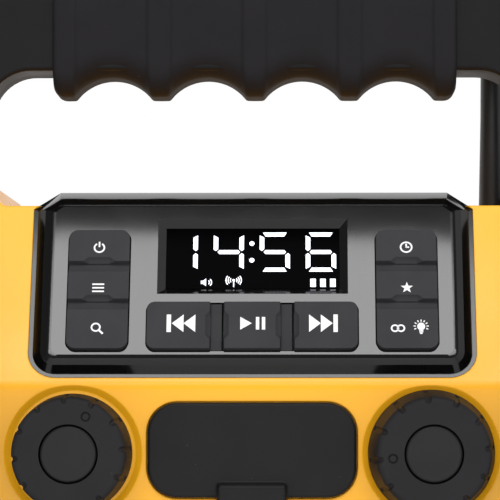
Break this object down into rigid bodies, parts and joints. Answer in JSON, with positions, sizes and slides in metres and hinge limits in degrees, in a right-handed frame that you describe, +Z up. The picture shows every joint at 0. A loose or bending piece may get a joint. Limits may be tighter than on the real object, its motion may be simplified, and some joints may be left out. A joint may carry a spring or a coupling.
{
  "type": "jobsite radio",
  "caption": "Portable jobsite radio in a roll cage with a gripped handle, leaning key panel with display, two knobs, covered sockets, loudspeaker, whip antenna and battery bay.",
  "frame": {"origin": "on the ground under the middle of the whole radio", "axes": "+Z up, -Y the way the control panel faces, +X to the right as its user sees it"},
  "size_m": [0.179, 0.139, 0.3291],
  "materials": {
    "housing_yellow": "moulded, satin gloss",
    "cage_black": "fine texture",
    "grip_rubber": "matt",
    "bezel_black": "polished bevel, satin face",
    "lens_glass": "clear over a black display",
    "display_black": "matt",
    "key_rubber": "satin silicone",
    "knob_rubber": "matt",
    "knob_cap_plastic": "matt",
    "cover_rubber": "satin",
    "inner_black": "moulded",
    "seal_rubber": "matt",
    "foot_rubber": "matt",
    "antenna_rubber": "satin",
    "surround_rubber": "matt",
    "cone_fibre": "pressed fibre",
    "grille_steel": "black powder coat",
    "basket_steel": "black",
    "magnet_ferrite": "bare ferrite",
    "screw_steel": "zinc plated",
    "plated_steel": "nickel plated",
    "heat_sink_aluminium": "extruded",
    "board_green": "solder mask",
    "cell_wrap": "plain sleeve"
  },
  "bodies": {
    "chassis": {"front_shell": "housing_yellow", "rear_shell": "housing_yellow", "case_seal": "seal_rubber", "case_screws": "screw_steel", "left_side_frame": "cage_black", "right_side_frame": "cage_black", "frame_screws": "screw_steel", "feet": "foot_rubber", "handle_bar": "cage_black", "handle_grip": "grip_rubber", "handle_screws": "screw_steel", "control_bezel": "bezel_black", "display_lens": "lens_glass", "display_module": "display_black", "key_board": "board_green", "key_switches": "plated_steel", "board_screws": "screw_steel", "encoders": "plated_steel", "encoder_nuts": "plated_steel", "socket_hinge_pin": "plated_steel", "socket_panel": "inner_black", "audio_jack": "inner_black", "charging_socket": "plated_steel", "power_inlet": "inner_black", "socket_board": "board_green", "speaker_grille": "grille_steel", "speaker_basket": "basket_steel", "speaker_cone": "cone_fibre", "speaker_surround": "surround_rubber", "speaker_magnet": "magnet_ferrite", "speaker_screws": "screw_steel", "main_board": "board_green", "heat_sink": "heat_sink_aluminium", "antenna_collar": "antenna_rubber", "antenna_whip": "antenna_rubber", "battery_tray": "inner_black", "battery_cells": "cell_wrap", "battery_contacts": "plated_steel", "door_hinge_pin": "plated_steel"},
    "power_key": {"power_key": "key_rubber"},
    "mode_key": {"mode_key": "key_rubber"},
    "scan_key": {"scan_key": "key_rubber"},
    "clock_key": {"clock_key": "key_rubber"},
    "preset_key": {"preset_key": "key_rubber"},
    "light_key": {"light_key": "key_rubber"},
    "previous_key": {"previous_key": "key_rubber"},
    "play_key": {"play_key": "key_rubber"},
    "next_key": {"next_key": "key_rubber"},
    "volume": {"volume_knob": "knob_rubber", "volume_cap": "knob_cap_plastic", "volume_shaft": "plated_steel"},
    "tuning": {"tuning_knob": "knob_rubber", "tuning_cap": "knob_cap_plastic", "tuning_shaft": "plated_steel"},
    "cover": {"socket_cover": "cover_rubber"},
    "door": {"battery_door": "housing_yellow"},
    "latch": {"door_latch": "inner_black"}
  },
  "joints": [
    {"name": "power_press", "type": "slide", "parent": "chassis", "child": "power_key", "axis": [0, 0.9063, -0.4226], "range_m": [0, 0.001], "stiffness_N_per_m": 400},
    {"name": "mode_press", "type": "slide", "parent": "chassis", "child": "mode_key", "axis": [0, 0.9063, -0.4226], "range_m": [0, 0.001], "stiffness_N_per_m": 400},
    {"name": "scan_press", "type": "slide", "parent": "chassis", "child": "scan_key", "axis": [0, 0.9063, -0.4226], "range_m": [0, 0.001], "stiffness_N_per_m": 400},
    {"name": "clock_press", "type": "slide", "parent": "chassis", "child": "clock_key", "axis": [0, 0.9063, -0.4226], "range_m": [0, 0.001], "stiffness_N_per_m": 400},
    {"name": "preset_press", "type": "slide", "parent": "chassis", "child": "preset_key", "axis": [0, 0.9063, -0.4226], "range_m": [0, 0.001], "stiffness_N_per_m": 400},
    {"name": "light_press", "type": "slide", "parent": "chassis", "child": "light_key", "axis": [0, 0.9063, -0.4226], "range_m": [0, 0.001], "stiffness_N_per_m": 400},
    {"name": "previous_press", "type": "slide", "parent": "chassis", "child": "previous_key", "axis": [0, 0.9063, -0.4226], "range_m": [0, 0.001], "stiffness_N_per_m": 400},
    {"name": "play_press", "type": "slide", "parent": "chassis", "child": "play_key", "axis": [0, 0.9063, -0.4226], "range_m": [0, 0.001], "stiffness_N_per_m": 400},
    {"name": "next_press", "type": "slide", "parent": "chassis", "child": "next_key", "axis": [0, 0.9063, -0.4226], "range_m": [0, 0.001], "stiffness_N_per_m": 400},
    {"name": "volume_turn", "type": "hinge", "parent": "chassis", "child": "volume", "pos_m": [-0.0447, -0.06, 0.1288], "axis": [0, 1, 0], "continuous": true},
    {"name": "tuning_turn", "type": "hinge", "parent": "chassis", "child": "tuning", "pos_m": [0.0447, -0.06, 0.1288], "axis": [0, 1, 0], "continuous": true},
    {"name": "cover_swing", "type": "hinge", "parent": "chassis", "child": "cover", "pos_m": [0, -0.0517, 0.1143], "axis": [1, 0, 0], "range_deg": [0, 110]},
    {"name": "door_swing", "type": "hinge", "parent": "chassis", "child": "door", "pos_m": [0, 0.0606, 0.0215], "axis": [-1, 0, 0], "range_deg": [0, 90]},
    {"name": "latch_slide", "type": "slide", "parent": "door", "child": "latch", "axis": [0, 0, 1], "range_m": [-0.0032, 0]}
  ]
}
